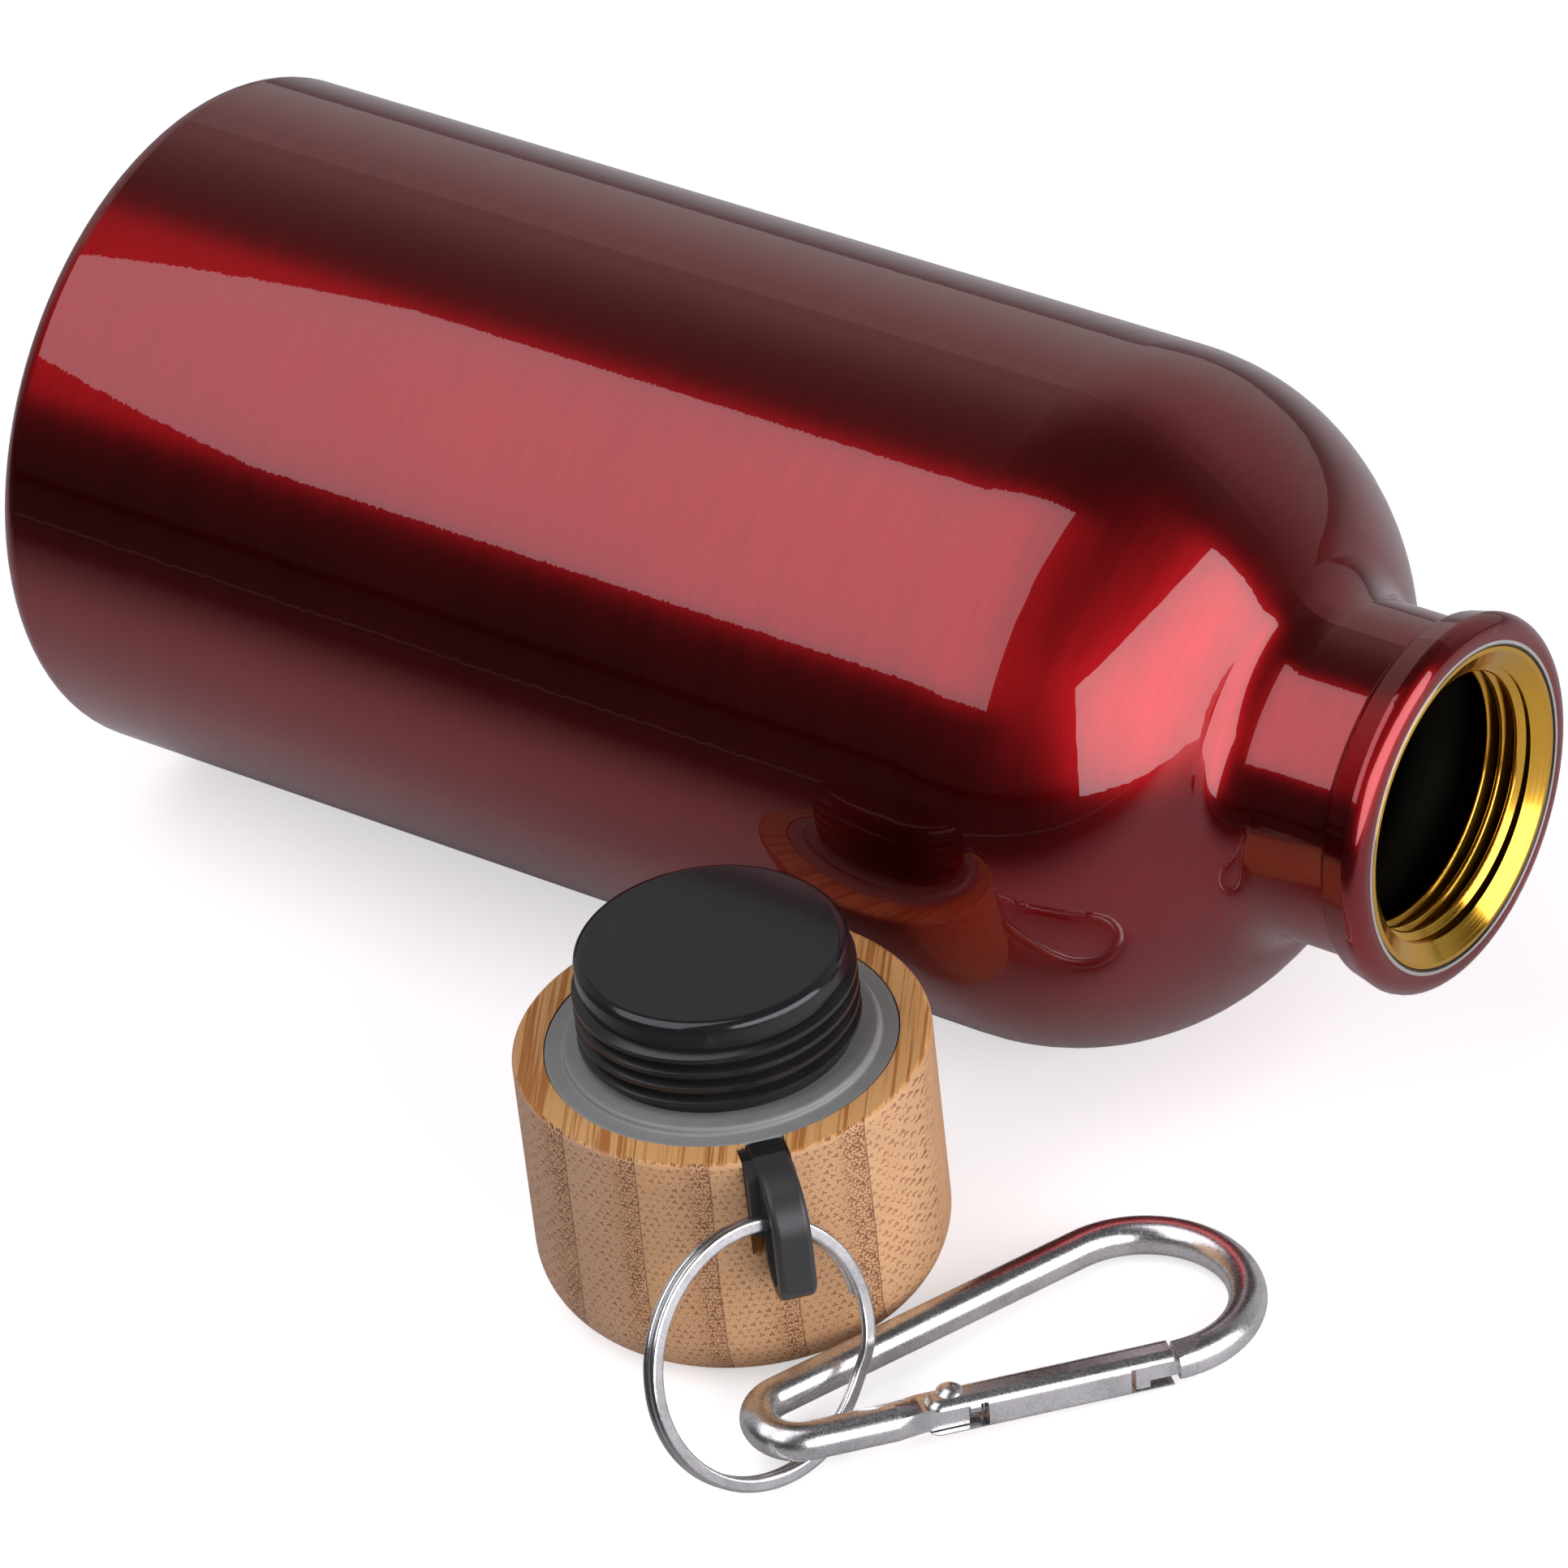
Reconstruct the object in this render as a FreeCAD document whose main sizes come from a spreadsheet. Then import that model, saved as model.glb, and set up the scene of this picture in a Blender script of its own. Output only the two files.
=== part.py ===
import FreeCAD, Part
import math
import os

import Sketcher
from FreeCAD import Placement, Rotation, Vector

# A 400 ml aluminium canteen lying on its side, with its bamboo cap standing upside down beside it.
# Frame: millimetres, +Z up, floor at Z = 0.  The bottle's axis runs along +X towards the mouth and
# the origin is on the floor in the middle of the cap's closed end.

SIZES = [
    ("body_radius", 33.0, "outside of the bottle"),
    ("body_straight", 103.5, "base to the start of the shoulder"),
    ("bottle_length", 142.8, "base to the face of the lip"),
    ("shoulder_radius", 24.6, "round of the shoulder"),
    ("neck_radius", 16.0, "outside of the neck"),
    ("neck_blend", 5.0, "hollow between shoulder and neck"),
    ("shell_wall", 0.9, "thickness of the drawn aluminium"),
    ("heel_radius", 2.2, "edge round the base"),
    ("dome_radius", 27.0, "outside of the hollow in the base"),
    ("dome_depth", 5.0, "depth of the hollow in the base"),
    ("lip_width", 4.5, "length of the bead round the mouth"),
    ("lip_back", 17.3, "radius of the bead at its back edge"),
    ("lip_front", 17.85, "radius of the bead at its front edge"),
    ("lip_round", 1.7, "front edge of the bead"),
    ("lip_step", 0.6, "rounds behind the bead"),
    ("lip_shoulder", 0.8, "round of the bead's back edge"),
    ("mouth_edge", 0.2, "round inside the mouth"),
    ("collar_length", 7.3, "threaded collar inside the neck"),
    ("collar_recess", 0.1, "collar face below the lip face"),
    ("collar_bevel", 1.1, "length of the bevel leading into the thread"),
    ("collar_flare", 0.9, "rise of that bevel"),
    ("collar_rim", 0.5, "flat rim of the collar"),
    ("collar_turns", 3, "full turns of the collar's thread"),
    ("edge_break", 0.1, "broken sharp edges, and sunk feet of ridges"),
    ("ridge_foot", 0.65, "half the foot of a thread ridge"),
    ("ridge_crest", 0.22, "half the crest of a thread ridge"),
    ("ridge_round", 0.26, "round of a crest inside the collar"),
    ("thread_pitch", 1.6, "one turn of the closure thread"),
    ("thread_major", 12.95, "root of the thread inside the collar"),
    ("thread_minor", 12.25, "crest of the thread inside the collar"),
    ("plug_crest", 12.75, "crest of the thread on the plug"),
    ("plug_root", 11.95, "root of the thread on the plug"),
    ("bottle_place_along", 97.1, "base of the bottle, behind the cap's axis"),
    ("bottle_place_aside", 52.0, "bottle's axis, beside the cap's axis"),
    ("cap_heading", -40.8, "direction of the hanging strap, degrees"),
    ("cap_radius", 18.8, "outside of the bamboo"),
    ("cap_height", 25.8, "height of the bamboo"),
    ("cap_crown_round", 6.2, "round of the closed end"),
    ("cap_rim_round", 0.5, "round of the open end"),
    ("recess_radius", 15.95, "seat turned in the open end"),
    ("recess_depth", 3.8, "depth of that seat"),
    ("socket_radius", 11.5, "glue socket for the plug's tail"),
    ("socket_floor", 10.5, "bamboo left under the socket"),
    ("flange_radius", 15.85, "flange of the plug"),
    ("flange_height", 2.6, "thickness of the flange"),
    ("plug_neck", 11.4, "tail and undercut of the plug"),
    ("plug_hollow", 9.6, "inside of the hollow plug"),
    ("plug_top", 36.2, "closed end of the plug above the floor"),
    ("plug_band", 12.3, "plain band at the closed end"),
    ("plug_edge", 0.9, "round of the closed end"),
    ("plug_skin", 2.0, "thickness of the closed end"),
    ("plug_relief", 1.8, "plain part between the flange and the thread"),
    ("plug_turns", 4, "full turns of the plug's thread"),
    ("plug_slope", 0.08, "slope at each end of the threaded part"),
    ("plug_plain", 1.95, "plain part above the thread"),
    ("tail_gap", 1.0, "air under the plug's tail"),
    ("gasket_inner", 11.5, "hole in the gasket"),
    ("gasket_step", 14.2, "raised ring of the gasket"),
    ("gasket_low", 1.15, "thickness outside the raised ring"),
    ("gasket_high", 1.8, "thickness of the raised ring"),
    ("gasket_edge", 0.2, "outside and inside edges of the gasket"),
    ("gasket_round", 0.3, "rounds of the raised ring"),
    ("slip_gap", 0.05, "clearance of the gasket and of the strap in its slot"),
    ("strap_width", 3.4, "strap measured round the cap"),
    ("strap_reach", 25.3, "front of the strap from the cap's axis"),
    ("strap_back", 19.2, "back of the strap from the cap's axis"),
    ("strap_bend", 5.0, "round where the strap turns down"),
    ("strap_low", 16.6, "middle of the strap's lower round"),
    ("strap_sink", 0.1, "top of the strap below the rim"),
    ("strap_root", 12.4, "start of the strap inside the flange"),
    ("strap_edge", 0.6, "rounded long edges of the strap"),
    ("root_side", 2.6, "wide side of the strap's root, from the strap's middle"),
    ("root_inner", 16.2, "inner face of that root from the cap's axis"),
    ("root_outer", 20.3, "outer face of that root from the cap's axis"),
    ("root_low", 18.8, "bottom of that root above the floor"),
    ("root_high", 25.4, "top of that root above the floor"),
    ("slot_low", 15.7, "bottom of the slot in the bamboo above the floor"),
    ("eye_radius", 1.7, "half the gap of the eye"),
    ("eye_reach", 22.35, "middle of the eye from the cap's axis"),
    ("eye_top", 22.15, "middle of the upper round of the eye"),
    ("ring_radius", 11.6, "middle of the split ring's band"),
    ("ring_band", 1.3, "radial thickness of one coil"),
    ("ring_coil", 0.78, "width of one coil"),
    ("ring_gap", 0.04, "space between the two coils"),
    ("ring_corner", 0.3, "rounded corners of the flat wire"),
    ("ring_ramp", 26.0, "turn over which the wire changes coil, degrees"),
    ("ring_open", 62.4, "turn missing from two full coils, degrees"),
    ("ring_lean", 16.9, "lean of the ring from upright, degrees"),
    ("ring_heading", -13.3, "direction the ring faces, degrees"),
    ("ring_place_along", 18.0, "ring centre, from the cap's axis"),
    ("ring_place_aside", 21.6, "ring centre, from the cap's axis"),
    ("wire_radius", 1.75, "wire of the snap hook"),
    ("hook_small", 3.6, "small end, to the middle of the wire"),
    ("hook_large", 9.4, "large end, to the middle of the wire"),
    ("hook_centres", 33.5, "small end centre to large end centre"),
    ("hook_heading", 51.7, "direction of the hook, degrees"),
    ("hook_lift", 3.8, "small end above the floor"),
    ("hook_place_along", 19.6, "small end, from the cap's axis"),
    ("hook_place_aside", 19.15, "small end, from the cap's axis"),
    ("gate_start", 10.3, "gate, from the small end's centre"),
    ("gate_length", 22.6, "length of the gate's cheeks"),
    ("gate_height", 3.7, "gate, across both cheeks"),
    ("gate_sheet", 0.6, "sheet the gate is folded from"),
    ("gate_depth", 2.75, "gate, from its back to its open side"),
    ("gate_ear", 0.45, "extra depth round the rivet"),
    ("gate_back_start", 15.8, "back of the gate, from the small end"),
    ("gate_back_end", 28.9, "back of the gate, from the small end"),
    ("gate_corner", 1.3, "rounded corners of the cheeks"),
    ("gate_slope", 1.1, "slope from the ear down to the cheek"),
    ("gate_fold", 1.1, "round of the folds along the back"),
    ("gate_lip", 0.3, "spring stop below the cheeks' edge"),
    ("pivot_along", 12.8, "rivet, from the small end's centre"),
    ("pivot_offset", 0.4, "rivet, inside the middle of the wire"),
    ("pivot_radius", 0.75, "rivet shank"),
    ("pivot_gap", 0.05, "running clearance on the rivet"),
    ("rivet_head", 1.2, "radius of the rivet's domed heads"),
    ("rivet_dome", 0.55, "height of the rivet's domed heads"),
    ("tongue_height", 2.3, "flattened ends of the wire"),
    ("tongue_reach", 1.35, "end of the tongue beyond the rivet"),
    ("tongue_taper", 2.3, "length over which the wire flattens"),
    ("tongue_gap", 0.3, "tapered end before the gate's cheeks"),
    ("tongue_outer", 1.0, "tongue, outside the middle of the wire"),
    ("tongue_inner", 1.65, "tongue, inside the middle of the wire"),
    ("tongue_corner", 0.4, "rounded corner of the tongue"),
    ("nose_neck", 1.1, "half the slim neck of the nose"),
    ("nose_relief", 0.8, "neck thinner than the head of the nose"),
    ("nose_outer", 1.5, "head of the nose, outside the wire's middle"),
    ("nose_inner", 1.3, "head of the nose, inside the wire's middle"),
    ("nose_start", 0.5, "head of the nose, from the gate's back"),
    ("nose_length", 1.3, "length of the head of the nose"),
    ("nose_overlap", 0.6, "neck of the nose inside the wire"),
    ("nose_slope", 2.6, "length of the flats on the wire's end"),
    ("plunger_radius", 0.95, "head of the spring plunger"),
    ("plunger_head", 1.1, "length of the plunger's head"),
    ("plunger_stem", 0.45, "radius of the plunger's stem"),
    ("plunger_reach", 3.0, "length of the plunger's stem"),
    ("plunger_round", 0.2, "rounded tip of the plunger"),
    ("spring_seat", 0.02, "clearance between spring and plunger"),
    ("spring_radius", 0.78, "middle of the spring's wire"),
    ("spring_wire", 0.15, "radius of the spring's wire"),
    ("spring_pitch", 0.62, "one turn of the spring"),
    ("spring_length", 6.0, "length of the fitted spring"),
]


class Size:
    """A length that knows its value and the sheet expression that it comes from."""

    def __init__(self, value, text):
        self.value = value
        self.text = text

    def joined(self, other, sign, value):
        return Size(value, f"({self.text} {sign} {as_size(other).text})")

    def __add__(self, other):
        return self.joined(other, "+", self.value + as_size(other).value)

    def __sub__(self, other):
        return self.joined(other, "-", self.value - as_size(other).value)

    def __mul__(self, other):
        return self.joined(other, "*", self.value * as_size(other).value)

    def __truediv__(self, other):
        return self.joined(other, "/", self.value / as_size(other).value)

    def __neg__(self):
        return Size(-self.value, f"(-1 * {self.text})")


def as_size(number):
    if isinstance(number, Size):
        return number
    return Size(float(number), repr(float(number)))


def root(size):
    return Size(math.sqrt(size.value), f"sqrt({size.text})")


def make_sheet():
    sheet = doc.addObject("Spreadsheet::Sheet", "Sizes")
    for row, (name, value, meaning) in enumerate(SIZES, start=1):
        sheet.set(f"A{row}", meaning)
        sheet.set(f"B{row}", str(value))
        sheet.setAlias(f"B{row}", name)
    doc.recompute()
    return sheet


def named(name):
    return Size(float(sizes.get(name)), f"Sizes.{name}")


def bind(target, path, size):
    target.setExpression(path, as_size(size).text)


def new_body(label):
    body = doc.addObject("PartDesign::Body", label)
    body.Label = label
    return body


def new_sketch(body, name, plane, offset=0.0):
    """An empty sketch on one of the body's own origin planes, moved along that plane's normal."""
    sketch = body.newObject("Sketcher::SketchObject", name)
    support = [item for item in body.Origin.OriginFeatures if item.Role == plane][0]
    sketch.AttachmentSupport = (support, [""])
    sketch.MapMode = "FlatFace"
    sketch.AttachmentOffset = Placement(Vector(0, 0, as_size(offset).value), Rotation())
    if isinstance(offset, Size):
        bind(sketch, "AttachmentOffset.Base.z", offset)
    return sketch


def hold(sketch, kind, places, size):
    """Add one dimension to a sketch and bind it to the sheet."""
    index = sketch.addConstraint(Sketcher.Constraint(kind, *places, as_size(size).value))
    if isinstance(size, Size):
        bind(sketch, f"Constraints[{index}]", size)


def arc_between(start, end, radius, side):
    """A round stretch from start to end; side is 1 with its centre on the left and -1 on the right."""
    half = (end - start) * 0.5
    left = Vector(-half.y, half.x, 0).normalize()
    reach = math.sqrt(max(radius ** 2 - half.Length ** 2, 0.0))
    centre = start + half + left * (side * reach)
    first, last = (start, end) if side > 0 else (end, start)
    first_angle = math.atan2(first.y - centre.y, first.x - centre.x)
    last_angle = math.atan2(last.y - centre.y, last.x - centre.x)
    circle = Part.Circle(centre, Vector(0, 0, 1), radius)
    return Part.ArcOfCircle(circle, first_angle, last_angle)


def draw(sketch, corners, rounds=None, closed=True):
    """Join corners by straight lines, or by arcs where rounds names the edge's number."""
    rounds = rounds or {}
    points = [Vector(as_size(x).value, as_size(y).value, 0) for x, y in corners]
    count = len(points) if closed else len(points) - 1
    ends = []
    for edge in range(count):
        start = points[edge]
        end = points[(edge + 1) % len(points)]
        if edge in rounds:
            radius, side = rounds[edge]
            index = sketch.addGeometry(arc_between(start, end, as_size(radius).value, side), False)
            ends.append((index, 1, 2) if side > 0 else (index, 2, 1))
        else:
            index = sketch.addGeometry(Part.LineSegment(start, end), False)
            ends.append((index, 1, 2))
    for edge, (index, first, last) in enumerate(ends):
        x, y = corners[edge]
        hold(sketch, "DistanceX", (-1, 1, index, first), x)
        hold(sketch, "DistanceY", (-1, 1, index, first), y)
        if edge in rounds:
            hold(sketch, "Radius", (index,), rounds[edge][0])
        if closed or edge + 1 < count:
            following, following_first, _ = ends[(edge + 1) % count]
            sketch.addConstraint(Sketcher.Constraint("Coincident", index, last, following, following_first))
    if not closed:
        index, _, last = ends[-1]
        x, y = corners[-1]
        hold(sketch, "DistanceX", (-1, 1, index, last), x)
        hold(sketch, "DistanceY", (-1, 1, index, last), y)


def draw_circle(sketch, x, y, radius):
    centre = Vector(as_size(x).value, as_size(y).value, 0)
    index = sketch.addGeometry(Part.Circle(centre, Vector(0, 0, 1), as_size(radius).value), False)
    hold(sketch, "DistanceX", (-1, 1, index, 3), x)
    hold(sketch, "DistanceY", (-1, 1, index, 3), y)
    hold(sketch, "Radius", (index,), radius)


def draw_box(sketch, x_low, x_high, y_low, y_high):
    draw(sketch, [(x_low, y_low), (x_high, y_low), (x_high, y_high), (x_low, y_high)])


def revolve(body, sketch, axis):
    feature = body.newObject("PartDesign::Revolution", f"{sketch.Name}_turned")
    feature.Profile = sketch
    feature.ReferenceAxis = (sketch, [axis])
    feature.Angle = 360
    doc.recompute()
    return feature


def pad(body, sketch, length, both_ways=False):
    feature = body.newObject("PartDesign::Pad", f"{sketch.Name}_pad")
    feature.Profile = sketch
    bind(feature, "Length", length)
    if both_ways:
        feature.SideType = "Symmetric"
    doc.recompute()
    return feature


def pocket(body, sketch, depth, both_ways=False):
    """Cut a sketch into the body, against the sketch's normal, and make sure that it removes metal."""
    before = body.Shape.Volume
    feature = body.newObject("PartDesign::Pocket", f"{sketch.Name}_cut")
    feature.Profile = sketch
    bind(feature, "Length", depth)
    if both_ways:
        feature.SideType = "Symmetric"
    doc.recompute()
    if body.Shape.Volume >= before - 1e-6:
        raise RuntimeError(f"{feature.Name} cuts nothing")
    return feature


def wind(body, sketch, axis, pitch, height):
    feature = body.newObject("PartDesign::AdditiveHelix", f"{sketch.Name}_wound")
    feature.Profile = sketch
    feature.ReferenceAxis = (sketch, [axis])
    feature.Mode = "pitch-height-angle"
    bind(feature, "Pitch", pitch)
    bind(feature, "Height", height)
    doc.recompute()
    return feature


def make_bottle_shell():
    """One drawn shell: hollow base, straight wall, round shoulder, neck and beaded mouth."""
    body = new_body("bottle_shell")
    wall = named("shell_wall")
    radius = named("body_radius")
    straight = named("body_straight")
    length = named("bottle_length")
    heel = named("heel_radius")
    dome = named("dome_radius")
    depth = named("dome_depth")
    neck = named("neck_radius")
    blend = named("neck_blend")
    shoulder = named("shoulder_radius")
    step = named("lip_step")
    edge = named("mouth_edge")
    lip_start = length - named("lip_width")
    dome_round = (dome * dome + depth * depth) / (depth * 2)
    # The shoulder's round and the hollow before the neck touch on the line between their centres.
    rise = neck + blend - radius + shoulder
    run = root((shoulder + blend) * (shoulder + blend) - rise * rise)
    neck_start = straight + run
    share = shoulder / (shoulder + blend)
    inner_share = (shoulder - wall) / (shoulder + blend)
    corners = [
        (depth, 0.0),
        (0.0, dome),
        (0.0, radius - heel),
        (heel, radius),
        (straight, radius),
        (straight + run * share, radius - shoulder + rise * share),
        (neck_start, neck),
        (lip_start - step, neck),
        (lip_start, neck + step),
        (lip_start + step, named("lip_back")),
        (length - named("lip_round"), named("lip_front")),
        (length, named("lip_front") - named("lip_round")),
        (length, neck - wall + edge),
        (length - edge, neck - wall),
        (neck_start, neck - wall),
        (straight + run * inner_share, radius - shoulder + rise * inner_share),
        (straight, radius - wall),
        (heel, radius - wall),
        (wall, radius - heel),
        (wall, dome),
        (depth + wall, 0.0),
    ]
    rounds = {
        0: (dome_round, 1),
        2: (heel, -1),
        4: (shoulder, -1),
        5: (blend, 1),
        7: (step, 1),
        8: (named("lip_shoulder"), -1),
        10: (named("lip_round"), -1),
        12: (edge, -1),
        14: (blend + wall, -1),
        15: (shoulder - wall, 1),
        17: (heel - wall, 1),
        19: (dome_round, -1),
    }
    sketch = new_sketch(body, "shell_section", "XZ_Plane")
    draw(sketch, corners, rounds)
    revolve(body, sketch, "H_Axis")
    lay_down(body)
    return body


def lay_down(body):
    """The bottle lies on the floor beside the cap, its axis along +X."""
    bind(body, "Placement.Base.x", -named("bottle_place_along"))
    bind(body, "Placement.Base.y", named("bottle_place_aside"))
    bind(body, "Placement.Base.z", named("body_radius"))


def make_thread_collar():
    """The threaded collar seated in the neck, with a wide bevel leading into the thread."""
    body = new_body("thread_collar")
    outside = named("neck_radius") - named("shell_wall")
    bore = named("thread_major")
    front = named("bottle_length") - named("collar_recess")
    back = front - named("collar_length")
    pitch = named("thread_pitch")
    rim = named("collar_rim")
    small = named("edge_break")
    sketch = new_sketch(body, "collar_section", "XZ_Plane")
    draw(sketch, [
        (back, bore),
        (front - named("collar_bevel"), bore),
        (front - rim, bore + named("collar_flare")),
        (front, outside - rim),
        (front, outside - small),
        (front - small, outside),
        (back, outside),
    ])
    revolve(body, sketch, "H_Axis")
    foot = named("ridge_foot")
    crest = named("ridge_crest")
    ridge = new_sketch(body, "collar_ridge", "XZ_Plane")
    first = back + foot + small
    draw(ridge, [
        (first - foot, bore + small),
        (first - crest, named("thread_minor") + small),
        (first + crest, named("thread_minor") + small),
        (first + foot, bore + small),
    ], {1: (named("ridge_round"), 1)})
    wind(body, ridge, "H_Axis", pitch, pitch * named("collar_turns").value)
    lay_down(body)
    return body


def turn_to_strap(body):
    """Turn a body of the cap so that its own +X points along the strap."""
    heading = Rotation(Vector(0, 0, 1), named("cap_heading").value)
    body.Placement = Placement(Vector(0, 0, 0), heading)
    bind(body, "Placement.Rotation.Angle", named("cap_heading"))


def make_bamboo_cap():
    """The turned bamboo cup, standing on its closed end, with a stepped slot for the strap."""
    body = new_body("bamboo_cap")
    radius = named("cap_radius")
    height = named("cap_height")
    crown = named("cap_crown_round")
    rim = named("cap_rim_round")
    floor = height - named("recess_depth")
    socket = named("socket_radius")
    sketch = new_sketch(body, "cup_section", "XZ_Plane")
    draw(sketch, [
        (0.0, 0.0),
        (radius - crown, 0.0),
        (radius, crown),
        (radius, height - rim),
        (radius - rim, height),
        (named("recess_radius"), height),
        (named("recess_radius"), floor),
        (socket, floor),
        (socket, named("socket_floor")),
        (0.0, named("socket_floor")),
    ], {1: (crown, 1), 3: (rim, 1)})
    revolve(body, sketch, "V_Axis")
    slot = new_sketch(body, "strap_slot", "XY_Plane", height)
    half = named("strap_width") / 2 + named("slip_gap")
    draw_box(slot, socket, radius + rim, -half, half)
    pocket(body, slot, named("recess_depth"))
    deep = new_sketch(body, "root_slot", "XY_Plane", height)
    wide = named("root_side") + named("slip_gap")
    draw_box(deep, named("recess_radius"), radius + rim, -wide, half)
    pocket(body, deep, height - named("slot_low"))
    turn_to_strap(body)
    return body


def make_cap_insert():
    """One black moulding: hollow threaded plug, flange and tail, and the strap with its eye."""
    body = new_body("cap_insert")
    height = named("cap_height")
    seat = height - named("recess_depth")
    flange_top = seat + named("flange_height")
    flange = named("flange_radius")
    neck = named("plug_neck")
    core = named("plug_root")
    hollow = named("plug_hollow")
    top = named("plug_top")
    band = named("plug_band")
    edge = named("plug_edge")
    skin = named("plug_skin")
    slope = named("plug_slope")
    tail = named("socket_floor") + named("tail_gap")
    thread_start = flange_top + named("plug_relief")
    thread_end = top - named("plug_plain")
    sketch = new_sketch(body, "plug_section", "XZ_Plane")
    draw(sketch, [
        (hollow, tail),
        (neck, tail),
        (neck, seat),
        (flange, seat),
        (flange, flange_top),
        (neck, flange_top),
        (neck, thread_start),
        (core, thread_start + slope),
        (core, thread_end),
        (band, thread_end + slope),
        (band, top - edge),
        (band - edge, top),
        (0.0, top),
        (0.0, top - skin),
        (hollow, top - skin),
    ], {10: (edge, 1)})
    revolve(body, sketch, "V_Axis")
    add_plug_thread(body, core, thread_start)
    add_strap(body, seat, flange_top, height)
    turn_to_strap(body)
    return body


def add_plug_thread(body, core, thread_start):
    """The thread starts and ends on the side away from the strap."""
    pitch = named("thread_pitch")
    crest = named("plug_crest")
    foot = named("ridge_foot")
    half_crest = named("ridge_crest")
    sunk = core - named("edge_break")
    first = thread_start + foot + named("edge_break")
    ridge = new_sketch(body, "plug_ridge", "XZ_Plane")
    draw(ridge, [
        (-sunk, first - foot),
        (-crest, first - half_crest),
        (-crest, first + half_crest),
        (-sunk, first + foot),
    ])
    wind(body, ridge, "V_Axis", pitch, pitch * named("plug_turns").value)


def add_strap(body, seat, flange_top, height):
    """The strap leaves the slot in the rim on a wider root, turns down and ends in a round."""
    reach = named("strap_reach")
    back = named("strap_back")
    bend = named("strap_bend")
    low = named("strap_low")
    end_round = (reach - back) / 2
    rim = named("recess_radius")
    start = named("strap_root")
    top = height - named("strap_sink")
    outline = new_sketch(body, "strap_outline", "XZ_Plane")
    draw(outline, [
        (start, seat),
        (back, seat),
        (back, low),
        (back + end_round, low - end_round),
        (reach, low),
        (reach, top - bend),
        (reach - bend, top),
        (rim, top),
        (rim, flange_top),
        (start, flange_top),
    ], {2: (end_round, 1), 3: (end_round, 1), 5: (bend, 1)})
    strap = pad(body, outline, named("strap_width"), both_ways=True)
    round_strap_edges(body, strap, named("cap_radius").value)
    root_low = named("root_low")
    side = named("strap_width") / 2
    shoulder = new_sketch(body, "strap_shoulder", "XY_Plane", root_low)
    draw_box(shoulder, named("root_inner"), named("root_outer"), -named("root_side"), side)
    pad(body, shoulder, named("root_high") - root_low)
    eye = named("eye_radius")
    middle = named("eye_reach")
    eye_top = named("eye_top")
    hole = new_sketch(body, "strap_eye", "XZ_Plane")
    draw(hole, [
        (middle - eye, low),
        (middle, low - eye),
        (middle + eye, low),
        (middle + eye, eye_top),
        (middle, eye_top + eye),
        (middle - eye, eye_top),
    ], {0: (eye, 1), 1: (eye, 1), 3: (eye, 1), 4: (eye, 1)})
    pocket(body, hole, named("strap_width") * 2, both_ways=True)


def round_strap_edges(body, strap, outside):
    """Round the strap's long edges where it hangs outside the bamboo."""
    side = named("strap_width").value / 2
    names = []
    for number, edge in enumerate(strap.Shape.Edges, start=1):
        middle = edge.CenterOfMass
        on_side = abs(abs(middle.y) - side) < 0.01
        if on_side and edge.BoundBox.YLength < 0.01 and edge.BoundBox.XMax > outside:
            names.append(f"Edge{number}")
    fillet = body.newObject("PartDesign::Fillet", "strap_edges")
    fillet.Base = (strap, names)
    bind(fillet, "Radius", named("strap_edge"))
    doc.recompute()


def make_gasket():
    """The grey washer round the plug, with a raised inner ring."""
    body = new_body("gasket")
    bottom = named("cap_height") - named("recess_depth") + named("flange_height")
    inner = named("gasket_inner")
    step = named("gasket_step")
    outer = named("recess_radius") - named("slip_gap")
    edge = named("gasket_edge")
    turn = named("gasket_round")
    low = bottom + named("gasket_low")
    high = bottom + named("gasket_high")
    sketch = new_sketch(body, "gasket_section", "XZ_Plane")
    draw(sketch, [
        (inner, bottom),
        (outer, bottom),
        (outer, low - edge),
        (outer - edge, low),
        (step + turn, low),
        (step, low + turn),
        (step, high - turn),
        (step - turn, high),
        (inner + edge, high),
        (inner, high - edge),
    ], {2: (edge, 1), 4: (turn, -1), 6: (turn, 1), 8: (edge, 1)})
    revolve(body, sketch, "V_Axis")
    turn_to_strap(body)
    return body


def rounded_section(middle, half_width, half_height, corner):
    """A rectangle in the XZ plane round middle, with its corners rounded."""
    pieces = []
    signs = [(1, 1), (-1, 1), (-1, -1), (1, -1)]
    for number, (side, up) in enumerate(signs):
        centre = middle + Vector(side * (half_width - corner), 0, up * (half_height - corner))
        across = centre + Vector(side * corner, 0, 0)
        above = centre + Vector(0, 0, up * corner)
        bend = centre + Vector(side, 0, up).normalize() * corner
        first, last = (across, above) if side == up else (above, across)
        if number == 0:
            start = first
        else:
            pieces.append(Part.LineSegment(previous, first))
        pieces.append(Part.Arc(first, bend, last))
        previous = last
    pieces.append(Part.LineSegment(previous, start))
    return Part.Wire([piece.toShape() for piece in pieces])


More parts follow.
